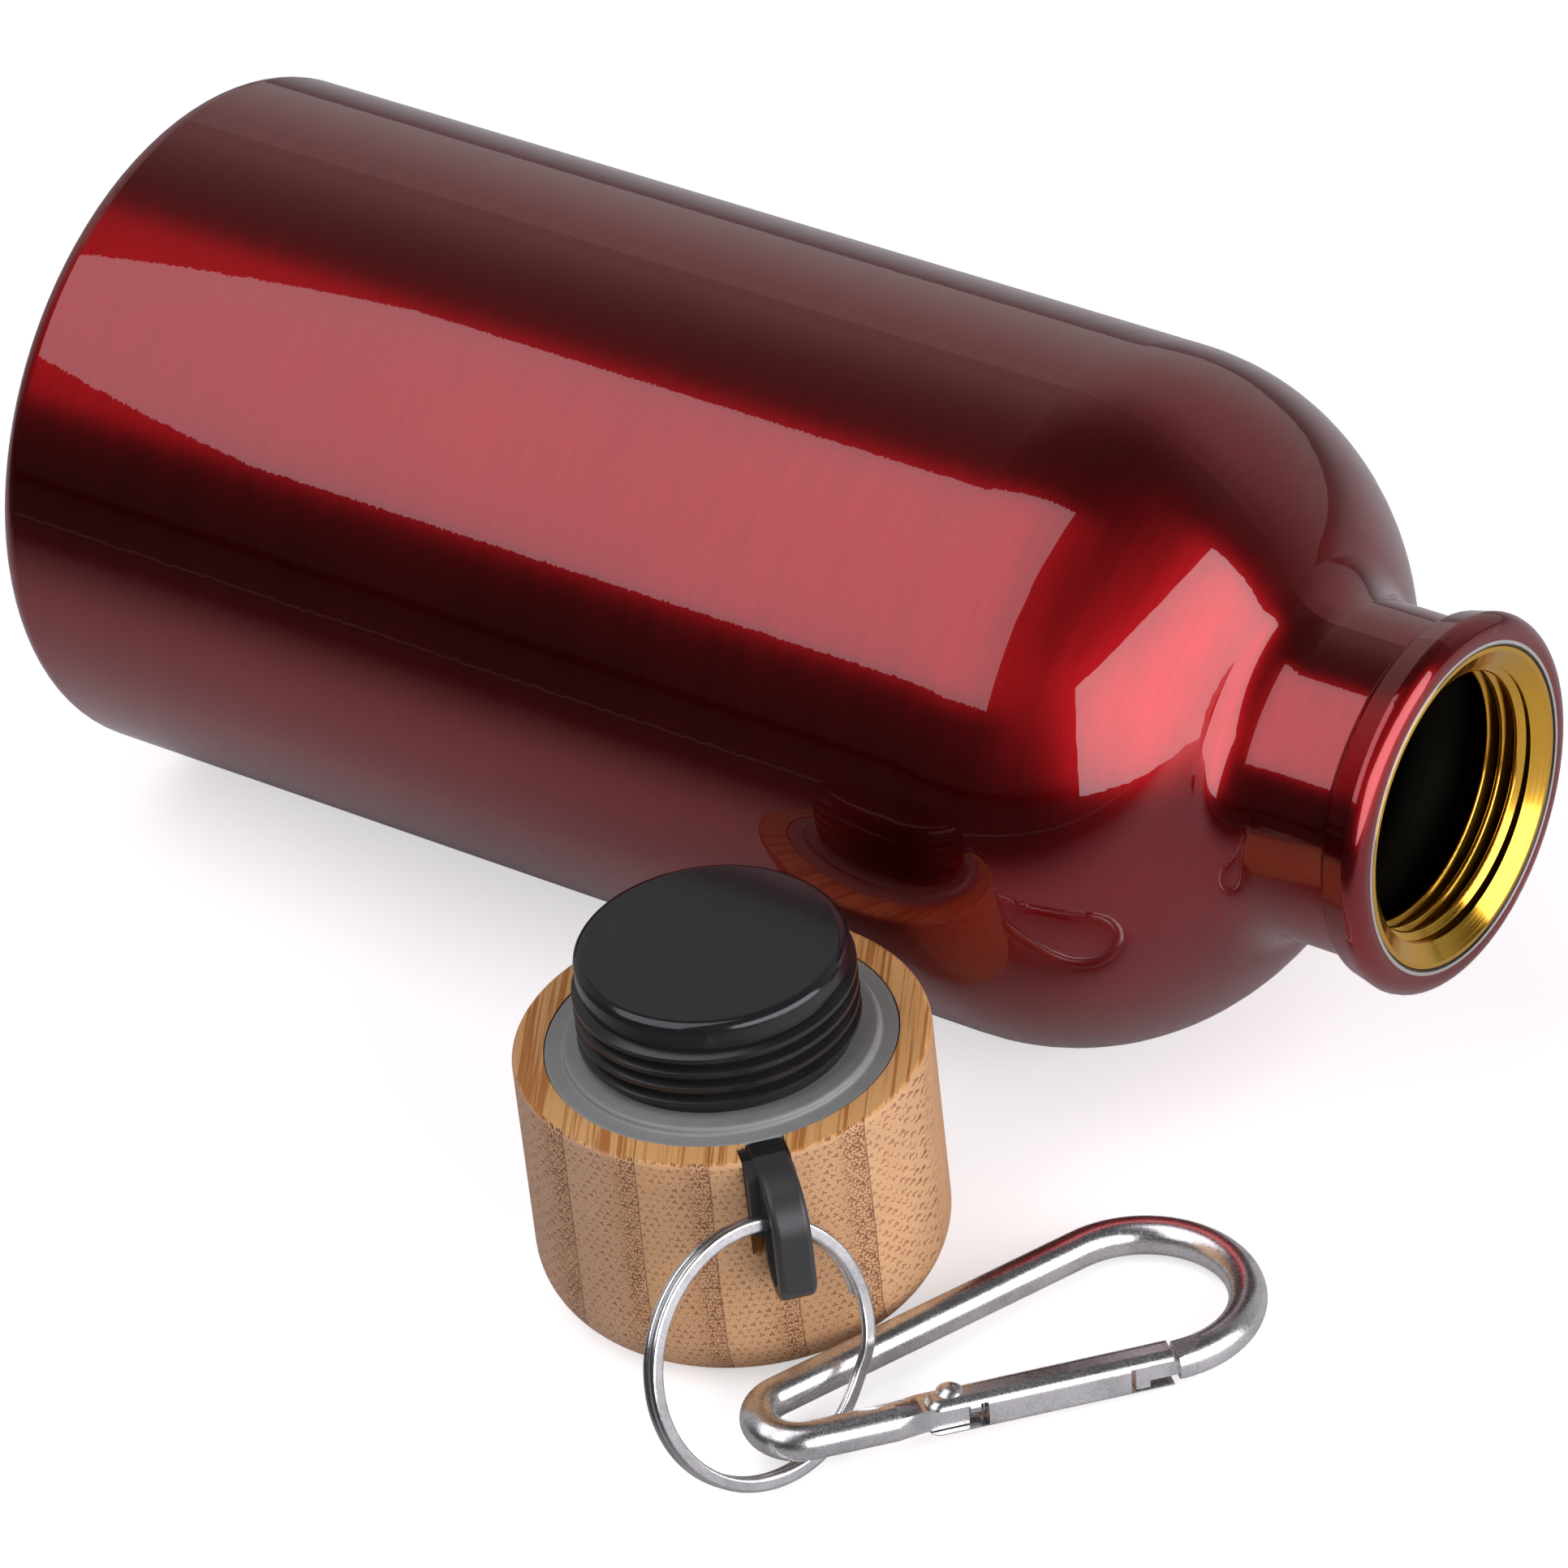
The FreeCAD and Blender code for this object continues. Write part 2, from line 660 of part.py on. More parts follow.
def make_split_ring():
    """A flat steel wire wound twice round, crossing from one coil to the other in one short ramp."""
    radius = named("ring_radius").value
    band = named("ring_band").value
    coil = named("ring_coil").value
    shift = (coil + named("ring_gap").value) / 2
    ramp = math.radians(named("ring_ramp").value)
    steps = 96
    span = 4 * math.pi - math.radians(named("ring_open").value)
    points = []
    for step in range(steps + 1):
        angle = span * step / steps
        along_ramp = (angle - span / 2) / ramp + 0.5
        share = min(max(along_ramp, 0.0), 1.0)
        height = shift * (1 - math.cos(math.pi * share)) - shift
        points.append(Vector(radius * math.cos(angle), radius * math.sin(angle), height))
    path = Part.BSplineCurve()
    path.interpolate(points)
    half_band = band / 2
    half_coil = coil / 2
    section = rounded_section(Vector(radius, 0, -shift), half_band, half_coil, named("ring_corner").value)
    sweep = Part.BRepOffsetAPI.MakePipeShell(Part.Wire([path.toShape()]))
    sweep.setBiNormalMode(Vector(0, 0, 1))
    sweep.add(section)
    sweep.build()
    sweep.makeSolid()
    ring = doc.addObject("Part::Feature", "split_ring")
    ring.Label = "split_ring"
    ring.Shape = sweep.shape()
    lean = math.radians(named("ring_lean").value)
    heading = math.radians(named("ring_heading").value)
    facing = Vector(math.cos(lean) * math.cos(heading), math.cos(lean) * math.sin(heading), math.sin(lean))
    reach = (radius + half_band) * math.cos(lean) + (shift + half_coil) * math.sin(lean)
    place = Vector(named("ring_place_along").value, -named("ring_place_aside").value, reach)
    face_up = Vector(-math.sin(lean) * math.cos(heading), -math.sin(lean) * math.sin(heading), math.cos(lean))
    turn = Rotation(face_up.cross(facing), face_up, facing, "ZXY")
    ring.Placement = Placement(place, turn)
    return ring


def hook_placement():
    """The hook's own frame: origin in the small end, +X to the large end, tilted onto the ring."""
    lift = named("hook_lift").value
    drop = lift - named("wire_radius").value
    tilt = math.asin(drop / (named("hook_centres").value + named("hook_large").value))
    heading = math.radians(named("hook_heading").value)
    along = Vector(
        math.cos(tilt) * math.cos(heading),
        math.cos(tilt) * math.sin(heading),
        -math.sin(tilt),
    )
    across = Vector(-math.sin(heading), math.cos(heading), 0)
    place = Vector(named("hook_place_along").value, -named("hook_place_aside").value, lift)
    return Placement(place, Rotation(along, across, along.cross(across), "ZXY"))


def make_carabiner_body():
    """Round wire bent to a pear, flattened at one end for the rivet and necked at the nose."""
    body = new_body("carabiner_body")
    small = named("hook_small")
    large = named("hook_large")
    centres = named("hook_centres")
    wire = named("wire_radius")
    height = named("tongue_height")
    flat = named("gate_start") - named("tongue_gap")
    start = flat - named("tongue_taper")
    # Both ends lie on the gate's line and on the long bar, which leans by twice the half angle.
    half_angle_run = centres * centres
    rise = large - small
    square = half_angle_run + rise * rise
    lean_cos = (half_angle_run - rise * rise) / square
    lean_sin = centres * rise * 2 / square
    spine = new_sketch(body, "hook_path", "XY_Plane")
    draw(spine, [
        (start, -small),
        (0.0, -small),
        (-small, 0.0),
        (-small * lean_sin, small * lean_cos),
        (centres - large * lean_sin, rise + large * lean_cos),
        (centres + large, rise),
        (centres, -small),
    ], {1: (small, -1), 2: (small, -1), 4: (large, -1), 5: (large, -1)}, closed=False)
    profile = new_sketch(body, "hook_wire", "YZ_Plane", start)
    draw_circle(profile, -small, 0.0, wire)
    pipe = body.newObject("PartDesign::AdditivePipe", "hook_pipe")
    pipe.Profile = profile
    pipe.Spine = spine
    doc.recompute()
    add_hook_tongue(body, start, flat, small, wire, height)
    add_hook_nose(body, centres, small, wire, height)
    body.Placement = hook_placement()
    return body


def add_hook_tongue(body, start, flat, small, wire, height):
    """The wire flattens into a tongue between the gate's cheeks and carries the rivet's bore."""
    pivot = named("pivot_along")
    corner = named("tongue_corner")
    low = -small - named("tongue_outer")
    high = -small + named("tongue_inner")
    round_end = new_sketch(body, "tongue_from", "YZ_Plane", start)
    draw_circle(round_end, -small, 0.0, wire)
    flat_end = new_sketch(body, "tongue_to", "YZ_Plane", flat)
    draw_box(flat_end, low, high, -height / 2, height / 2)
    loft = body.newObject("PartDesign::AdditiveLoft", "tongue_taper")
    loft.Profile = round_end
    loft.Sections = [flat_end]
    doc.recompute()
    plan = new_sketch(body, "tongue_plan", "XY_Plane")
    back = flat - named("edge_break")
    end = pivot + named("tongue_reach")
    draw(plan, [
        (back, low),
        (end, low),
        (end, high - corner),
        (end - corner, high),
        (back, high),
    ], {2: (corner, 1)})
    pad(body, plan, height, both_ways=True)
    bore = new_sketch(body, "tongue_bore", "XY_Plane")
    draw_circle(bore, pivot, -small + named("pivot_offset"), named("pivot_radius") + named("pivot_gap"))
    pocket(body, bore, height * 3, both_ways=True)


def add_hook_nose(body, centres, small, wire, height):
    """Two flats thin the wire's end; a slim neck carries the wider head between the cheeks."""
    back_end = named("gate_back_end")
    thin = height / 2
    past = centres + named("nose_slope")
    for name, up in (("nose_flat_above", 1), ("nose_flat_below", -1)):
        flats = new_sketch(body, name, "XZ_Plane", small)
        draw(flats, [
            (centres - 1, thin * up),
            (centres, thin * up),
            (past, wire * up),
            (past, wire * up * 2),
            (centres - 1, wire * up * 2),
        ])
        pocket(body, flats, wire * 3, both_ways=True)
    half_neck = named("nose_neck")
    head_start = back_end + named("nose_start")
    head_end = head_start + named("nose_length")
    neck = new_sketch(body, "nose_neck", "XY_Plane")
    neck_start = head_end - named("edge_break")
    draw_box(neck, neck_start, centres + named("nose_overlap"), -small - half_neck, -small + half_neck)
    pad(body, neck, height - named("nose_relief"), both_ways=True)
    head = new_sketch(body, "nose_head", "XY_Plane")
    draw_box(head, head_start, head_end, -small - named("nose_outer"), -small + named("nose_inner"))
    pad(body, head, height, both_ways=True)


def make_carabiner_gate():
    """A folded sheet channel: two cheeks on the rivet, and a back cut short at both ends."""
    body = new_body("carabiner_gate")
    small = named("hook_small")
    wire = named("wire_radius")
    start = named("gate_start")
    end = start + named("gate_length")
    height = named("gate_height")
    sheet = named("gate_sheet")
    low = -small - wire
    high = low + named("gate_depth")
    ear = high + named("gate_ear")
    pivot = named("pivot_along")
    corner = named("gate_corner")
    plan = new_sketch(body, "gate_plan", "XY_Plane")
    draw(plan, [
        (start + corner, low),
        (end, low),
        (end, high),
        (pivot + corner + named("gate_slope"), high),
        (pivot + corner, ear),
        (start + corner, ear),
        (start, ear - corner),
        (start, low + corner),
    ], {5: (corner, 1), 7: (corner, 1)})
    block = pad(body, plan, height, both_ways=True)
    round_gate_back(body, block, low.value, height.value / 2)
    gap = height / 2 - sheet
    cavity = new_sketch(body, "gate_cavity", "YZ_Plane", end + 1)
    draw_box(cavity, low + sheet, ear + 1, -gap, gap)
    pocket(body, cavity, named("gate_length") + 2)
    rear = new_sketch(body, "gate_rear_opening", "YZ_Plane", named("gate_back_start"))
    draw_box(rear, low - 1, ear + 1, -gap, gap)
    pocket(body, rear, named("gate_back_start") - start + 1)
    front = new_sketch(body, "gate_front_opening", "YZ_Plane", end + 1)
    draw_box(front, low - 1, ear + 1, -gap, gap)
    pocket(body, front, end + 1 - named("gate_back_end"))
    stop = new_sketch(body, "gate_spring_stop", "XY_Plane")
    stop_start = spring_start() + named("spring_length") + named("slip_gap")
    draw_box(stop, stop_start, stop_start + sheet, low + sheet / 2, high - named("gate_lip"))
    pad(body, stop, gap * 2 + sheet / 2, both_ways=True)
    bore = new_sketch(body, "gate_bore", "XY_Plane")
    draw_circle(bore, pivot, -small + named("pivot_offset"), named("pivot_radius"))
    pocket(body, bore, height * 2, both_ways=True)
    body.Placement = hook_placement()
    return body


def round_gate_back(body, block, low, half_height):
    """Round the two long outside edges where the sheet folds from the back into the cheeks."""
    names = []
    for number, edge in enumerate(block.Shape.Edges, start=1):
        middle = edge.CenterOfMass
        on_back = abs(middle.y - low) < 0.01
        on_face = abs(abs(middle.z) - half_height) < 0.01
        if on_back and on_face and edge.Length > half_height * 2:
            names.append(f"Edge{number}")
    fillet = body.newObject("PartDesign::Fillet", "gate_folds")
    fillet.Base = (block, names)
    bind(fillet, "Radius", named("gate_fold"))
    doc.recompute()


def make_gate_rivet():
    """The rivet through the cheeks and the tongue, with a low dome at each end."""
    body = new_body("gate_rivet")
    shank = named("pivot_radius")
    head = named("rivet_head")
    dome = named("rivet_dome")
    face = named("gate_height") / 2
    dome_round = (head * head + dome * dome) / (dome * 2)
    sketch = new_sketch(body, "rivet_section", "XZ_Plane")
    draw(sketch, [
        (0.0, -face - dome),
        (head, -face),
        (shank, -face),
        (shank, face),
        (head, face),
        (0.0, face + dome),
    ], {0: (dome_round, 1), 4: (dome_round, 1)})
    revolve(body, sketch, "V_Axis")
    pivot = Vector(named("pivot_along").value, named("pivot_offset").value - named("hook_small").value, 0)
    body.Placement = hook_placement() * Placement(pivot, Rotation())
    return body


def plunger_tip():
    return named("pivot_along") + named("tongue_reach") + named("slip_gap")


def spring_start():
    return plunger_tip() + named("plunger_head") + named("spring_seat")


def make_spring_plunger():
    """The small pin that presses on the flat end of the tongue and closes the gate."""
    body = new_body("spring_plunger")
    tip = plunger_tip()
    shoulder = tip + named("plunger_head")
    head = named("plunger_radius")
    stem = named("plunger_stem")
    stem_end = shoulder + named("plunger_reach")
    turn = named("plunger_round")
    sketch = new_sketch(body, "plunger_section", "XZ_Plane")
    draw(sketch, [
        (tip, 0.0),
        (tip, head - turn),
        (tip + turn, head),
        (shoulder, head),
        (shoulder, stem),
        (stem_end, stem),
        (stem_end, 0.0),
    ], {1: (turn, -1)})
    revolve(body, sketch, "H_Axis")
    body.Placement = spring_axis_placement()
    return body


def spring_axis_placement():
    axis = Vector(0, -named("hook_small").value, 0)
    return hook_placement() * Placement(axis, Rotation())


def make_gate_spring():
    """The closing spring between the plunger's head and the stop in the gate."""
    body = new_body("gate_spring")
    wire = named("spring_wire")
    first = spring_start() + wire
    sketch = new_sketch(body, "spring_section", "XZ_Plane")
    draw_circle(sketch, first, named("spring_radius"), wire)
    wind(body, sketch, "H_Axis", named("spring_pitch"), named("spring_length") - wire * 2)
    body.Placement = spring_axis_placement()
    return body


def check_document():
    for item in doc.Objects:
        if "Invalid" in item.State or "Error" in item.State:
            raise RuntimeError(f"{item.Name} has failed: {item.State}")


def write_parts(parts):
    os.makedirs("parts", exist_ok=True)
    for item in parts:
        shape = item.Shape
        if shape.isNull() or not shape.isValid() or len(shape.Solids) != 1:
            raise RuntimeError(f"{item.Label} is not one valid solid")
    for item in parts:
        item.Shape.exportStep(f"parts/{item.Label}.step")
        print(item.Label, round(item.Shape.Volume, 2))


doc = FreeCAD.newDocument("canteen")
sizes = make_sheet()
all_parts = [
    make_bottle_shell(),
    make_thread_collar(),
    make_bamboo_cap(),
    make_cap_insert(),
    make_gasket(),
    make_split_ring(),
    make_carabiner_body(),
    make_carabiner_gate(),
    make_gate_rivet(),
    make_spring_plunger(),
    make_gate_spring(),
]
doc.recompute()
check_document()
write_parts(all_parts)
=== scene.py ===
import math

import bpy
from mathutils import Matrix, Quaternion, Vector


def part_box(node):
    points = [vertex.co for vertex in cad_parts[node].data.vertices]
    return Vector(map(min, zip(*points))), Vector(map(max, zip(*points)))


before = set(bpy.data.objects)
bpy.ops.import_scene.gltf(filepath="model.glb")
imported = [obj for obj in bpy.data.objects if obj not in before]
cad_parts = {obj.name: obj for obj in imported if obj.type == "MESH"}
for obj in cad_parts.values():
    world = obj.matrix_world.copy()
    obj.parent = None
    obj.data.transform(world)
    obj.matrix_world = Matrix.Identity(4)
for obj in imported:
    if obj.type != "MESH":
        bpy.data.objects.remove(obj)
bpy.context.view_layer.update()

MM = 0.001

# The bottle's axis is +X.  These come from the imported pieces' own boxes.
SHELL_LOW, SHELL_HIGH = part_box("bottle_shell")
CAP_LOW, CAP_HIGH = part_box("bamboo_cap")
BASE_CENTRE = Vector((SHELL_LOW.x, (SHELL_LOW.y + SHELL_HIGH.y) / 2, (SHELL_LOW.z + SHELL_HIGH.z) / 2))
CAP_CENTRE = (CAP_LOW + CAP_HIGH) / 2

# Lights and camera are placed from the floor under the middle of the bottle's base.
STUDIO = Vector((BASE_CENTRE.x, BASE_CENTRE.y, SHELL_LOW.z))

# Bottle, in millimetres: starts and ends are along its axis from the base, radii are out from it.
# Inside the bottle past these, shade is painted as a near-black colour.
SHADED_INSIDE_START = 6.0
SHADED_BASE_END = 8.0
SHADED_BASE_RADIUS = 31.5
BARE_RIM_START = 141.0
BARE_RIM_RADIUS = 15.6
AXIS_CLEAR = (4.0, 14.0)

# A mirroring piece farther away than this, in millimetres, sees the bottle grey.
FAR_REFLECTION = 30.0

# Linear colours of the bottle and its collar.
RED_DARK = (0.24, 0.0040, 0.0060)
RED_LIGHT = (0.30, 0.0060, 0.0085)
RED_BRUSHED = (0.21, 0.0030, 0.0045)
MIRRORED_GREY = (0.13, 0.13, 0.13)
BARE_ALUMINIUM = (0.82, 0.80, 0.78)
# Painted shade: the inside of the bottle, which little light reaches, is coloured near black.
PAINTED_INSIDE_SHADE = (0.020, 0.018, 0.012)
GOLD_DARK = (0.72, 0.38, 0.035)
GOLD_LIGHT = (0.85, 0.50, 0.060)
GOLD_WORN = (0.55, 0.30, 0.05)

# Bamboo: upright strips glued side by side, with the fibres lying level along the grain's heading.
# Lengths are in millimetres.
GRAIN_HEADING = math.radians(120.5)
STRIP_WIDTH = 6.67
STRIP_START = 0.8
STRIP_SWAY = 0.8
WIDE_PITCH = 0.80
TIGHT_PITCH = 0.52
ROWS_PER_PITCH = 1.16
ROSETTE_RADIUS = 0.15
# Across the grain the bamboo turns greyish tan: fully below the first of these, not at all above the
# second.
GREYISH_ACROSS = (-9.5, -5.5)

# Linear colours of the bamboo.
BAMBOO_DARK = (0.54, 0.315, 0.155)
BAMBOO_LIGHT = (0.65, 0.385, 0.195)
BAMBOO_GREYISH = (0.47, 0.31, 0.20)
BAMBOO_SKIN = (0.38, 0.195, 0.090)
BAMBOO_CLOUD = (0.42, 0.25, 0.14)
BAMBOO_FIBRE = (0.33, 0.17, 0.075)
# The rim's colour is its own long-grain orange, made lighter as painted light.
BAMBOO_RIM_GRAIN_AND_LIGHT = (0.74, 0.40, 0.135)
BAMBOO_PATCH = (0.66, 0.40, 0.21)
BAMBOO_STREAK = (0.40, 0.145, 0.030)
BAMBOO_JOINT = (0.16, 0.075, 0.03)
SPOT_LIGHT = (0.26, 0.095, 0.030)
SPOT_DARK = (0.16, 0.055, 0.022)

# Black plastic: the threaded part by height, and the strap by distance from the cap's axis.
THREAD_LOW = 25.0
THREAD_HIGH = 34.4
STRAP_START = 18.0
PARTING_HEADING = math.radians(-58.0)
PLASTIC_BLACK = (0.009, 0.009, 0.010)
PLASTIC_GREY = (0.016, 0.016, 0.017)
PLASTIC_STRAP = (0.030, 0.030, 0.031)
DUST = (0.12, 0.12, 0.12)

# Grey rubber and steel.
RUBBER_DARK = (0.195, 0.205, 0.192)
RUBBER_LIGHT = (0.295, 0.310, 0.290)
PLATED_STEEL = (0.78, 0.78, 0.78)
SPRING_STEEL = (0.55, 0.56, 0.58)

# Floor and room.  Lengths are in metres.
FLOOR_SIZE = 6.0
FLOOR_DROP = 0.0001
PAPER_WHITE = 0.86
PAPER_GLOW = 0.55
TABLE_FADE = (-0.075, 0.0)
TABLE_EDGE = (-0.125, -0.119)
WALL_DIRECTION = (-0.55, 0.835, 0.0)
WALL_GLOW = 0.38
WALL_TOP_GLOW = 0.04
ROOM_GLOW = 0.05
SEEN_WHITE = 0.95


class Graph:
    """A short way to write shader nodes: every method returns the socket that holds its result."""

    def __init__(self, tree):
        self.tree = tree

    def add(self, kind, settings=None, inputs=None):
        node = self.tree.nodes.new(kind)
        for name, value in (settings or {}).items():
            setattr(node, name, value)
        for name, value in (inputs or {}).items():
            self.put(node.inputs[name], value)
        return node

    def put(self, socket, value):
        if isinstance(value, bpy.types.NodeSocket):
            self.tree.links.new(value, socket)
        elif socket.type == "RGBA" and len(value) == 3:
            socket.default_value = (*value, 1.0)
        else:
            socket.default_value = value

    def math(self, operation, first, second=0.0):
        return self.add("ShaderNodeMath", {"operation": operation}, {0: first, 1: second}).outputs[0]

    def plus(self, first, second):
        return self.math("ADD", first, second)

    def minus(self, first, second):
        return self.math("SUBTRACT", first, second)

    def times(self, first, second):
        return self.math("MULTIPLY", first, second)

    def above(self, value, edge):
        return self.math("GREATER_THAN", value, edge)

    def below(self, value, edge):
        return self.math("LESS_THAN", value, edge)

    def fade(self, value, low, high, first=0.0, last=1.0):
        settings = {"interpolation_type": "SMOOTHSTEP"}
        inputs = {"Value": value, "From Min": low, "From Max": high, "To Min": first, "To Max": last}
        return self.add("ShaderNodeMapRange", settings, inputs).outputs[0]

    def vector(self, operation, first, second=(0.0, 0.0, 0.0)):
        node = self.add("ShaderNodeVectorMath", {"operation": operation}, {0: first, 1: second})
        return node.outputs["Value"] if operation in ("DOT_PRODUCT", "LENGTH") else node.outputs[0]

    def scaled(self, vector, size):
        node = self.add("ShaderNodeVectorMath", {"operation": "SCALE"}, {0: vector, "Scale": size})
        return node.outputs[0]

    def join(self, x, y, z):
        return self.add("ShaderNodeCombineXYZ", None, {0: x, 1: y, 2: z}).outputs[0]

    def split(self, vector):
        return self.add("ShaderNodeSeparateXYZ", None, {0: vector}).outputs

    def noise(self, vector, scale=1.0, detail=3.0, roughness=0.5):
        inputs = {"Vector": vector, "Scale": scale, "Detail": detail, "Roughness": roughness}
        return self.add("ShaderNodeTexNoise", None, inputs).outputs[0]

    def mix(self, share, first, last):
        inputs = {0: share, 6: first, 7: last}
        return self.add("ShaderNodeMix", {"data_type": "RGBA"}, inputs).outputs[2]

    def bump(self, height, strength, distance):
        inputs = {"Height": height, "Strength": strength, "Distance": distance}
        return self.add("ShaderNodeBump", None, inputs).outputs[0]

    def place(self):
        """The point on the piece at rest, in millimetres."""
        return self.scaled(self.add("ShaderNodeTexCoord").outputs["Object"], 1 / MM)

    def facing(self):
        """The surface's direction in the piece's own frame."""
        return self.add("ShaderNodeTexCoord").outputs["Normal"]


def new_material(name):
    material = bpy.data.materials.new(name)
    material.use_nodes = True
    return material, Graph(material.node_tree), material.node_tree.nodes["Principled BSDF"]


def dress(node_name, material):
    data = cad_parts[node_name].data
    data.materials.clear()
    data.materials.append(material)


def around_bottle(graph):
    """Distance along the bottle, distance from its axis and angle round it, in mm and radians."""
    x, y, z = graph.split(graph.vector("SUBTRACT", graph.place(), tuple(BASE_CENTRE / MM)))
    radius = graph.vector("LENGTH", graph.join(0.0, y, z))
    angle = graph.math("ARCTAN2", z, y)
    return x, radius, angle


def from_cap_axis(graph):
    """The point on the piece at rest, in millimetres from where the cap's axis meets the floor."""
    return graph.vector("SUBTRACT", graph.place(), (CAP_CENTRE.x / MM, CAP_CENTRE.y / MM, 0.0))


def bottle_zones(graph, along, radius, angle, normal):
    """Two shares, each 0 or 1: the inside of the bottle, where shade is painted as a dark colour, and
    the bare rim of its mouth.
    """
    normal_along, normal_side, normal_up = graph.split(normal)
    outward = graph.plus(
        graph.times(normal_side, graph.math("COSINE", angle)),
        graph.times(normal_up, graph.math("SINE", angle)),
    )
    in_wall = graph.times(graph.below(outward, -0.05), graph.above(along, SHADED_INSIDE_START))
    in_base = graph.times(graph.above(normal_along, 0.3), graph.below(along, SHADED_BASE_END))
    in_base = graph.times(in_base, graph.below(radius, SHADED_BASE_RADIUS))
    inside = graph.math("MAXIMUM", in_wall, in_base)
    bare = graph.times(graph.below(radius, BARE_RIM_RADIUS), graph.above(along, BARE_RIM_START))
    return inside, bare


def red_lacquer():
    """Clear red lacquer over aluminium brushed round the bottle; painted shade inside, as a near-black
    colour; a bare rim.
    """
    material, graph, shader = new_material("red_lacquer")
    along, radius, angle = around_bottle(graph)
    normal = graph.add("ShaderNodeNewGeometry").outputs["Normal"]
    inside, bare = bottle_zones(graph, along, radius, angle, normal)
    fine = graph.noise(graph.join(graph.times(along, 3.2), graph.times(angle, 5.0), 0.0), 1.0, 2.0)
    broad = graph.noise(graph.join(graph.times(along, 0.5), graph.times(angle, 1.6), 3.0), 1.0, 2.0)
    blotch = graph.noise(graph.place(), 0.045, 2.0)
    red = graph.mix(blotch, RED_DARK, RED_LIGHT)
    red = graph.mix(graph.times(graph.fade(fine, 0.35, 0.75), 0.4), red, RED_BRUSHED)
    # The hook and ring mirror the bottle as a neutral shape; its own near reflections stay red.
    path = graph.add("ShaderNodeLightPath").outputs
    is_far = graph.above(path["Ray Length"], FAR_REFLECTION * MM)
    from_afar = graph.times(path["Is Glossy Ray"], is_far)
    red = graph.mix(graph.times(from_afar, 0.85), red, MIRRORED_GREY)
    metal = graph.mix(bare, red, BARE_ALUMINIUM)
    # Painted shade: the inside of the bottle is coloured near black because little light reaches it.
    graph.put(shader.inputs["Base Color"], graph.mix(inside, metal, PAINTED_INSIDE_SHADE))
    graph.put(shader.inputs["Metallic"], graph.fade(inside, 0.0, 1.0, 1.0, 0.35))
    rough = graph.plus(graph.fade(broad, 0.2, 0.8, 0.27, 0.32), graph.times(fine, 0.03))
    graph.put(shader.inputs["Roughness"], rough)
    graph.put(shader.inputs["Anisotropic"], graph.fade(radius, 2.0, 12.0, 0.0, 0.85))
    shader.inputs["Anisotropic Rotation"].default_value = 0.25
    tangent = graph.add("ShaderNodeTangent", {"direction_type": "RADIAL", "axis": "X"})
    graph.put(shader.inputs["Tangent"], tangent.outputs[0])
    uncoated = graph.math("MAXIMUM", bare, inside)
    graph.put(shader.inputs["Coat Weight"], graph.fade(uncoated, 0.0, 1.0, 1.0, 0.15))
    shader.inputs["Coat Roughness"].default_value = 0.012
    shader.inputs["Coat IOR"].default_value = 1.52
    # The lacquer follows the brushing a little, so a reflection's edge is slightly ragged.
    fine_sway = graph.times(graph.minus(fine, 0.5), 0.022)
    broad_sway = graph.times(graph.minus(broad, 0.5), 0.012)
    off_axis = graph.fade(radius, *AXIS_CLEAR)
    sway = graph.times(graph.plus(fine_sway, broad_sway), off_axis)
    around = graph.vector("CROSS_PRODUCT", (1.0, 0.0, 0.0), normal)
    coat_normal = graph.vector("NORMALIZE", graph.vector("ADD", normal, graph.scaled(around, sway)))
    graph.put(shader.inputs["Coat Normal"], coat_normal)
    graph.put(shader.inputs["Normal"], graph.bump(graph.times(fine, off_axis), 0.05, 0.00003))
    return material


def gold_lacquer():
    """Gold lacquer over turned metal, with fine turning marks and small wear specks."""
    material, graph, shader = new_material("gold_lacquer")
    along, radius, angle = around_bottle(graph)
    marks = graph.noise(graph.join(graph.times(along, 9.0), graph.times(radius, 9.0), angle), 1.0, 2.0)
    specks = graph.fade(graph.noise(graph.place(), 3.5, 2.0), 0.66, 0.74)
    gold = graph.mix(marks, GOLD_DARK, GOLD_LIGHT)
    graph.put(shader.inputs["Base Color"], graph.mix(specks, gold, GOLD_WORN))
    shader.inputs["Metallic"].default_value = 1.0
    graph.put(shader.inputs["Roughness"], graph.fade(marks, 0.2, 0.8, 0.10, 0.22))
    shader.inputs["Coat Weight"].default_value = 0.3
    shader.inputs["Coat Roughness"].default_value = 0.03
    graph.put(shader.inputs["Normal"], graph.bump(marks, 0.12, 0.00003))
    return material


def grain_directions():
    """Level directions along the fibres and across the strips."""
    fibre = Vector((math.cos(GRAIN_HEADING), math.sin(GRAIN_HEADING), 0.0))
    across = Vector((math.sin(GRAIN_HEADING), -math.cos(GRAIN_HEADING), 0.0))
    return fibre, across


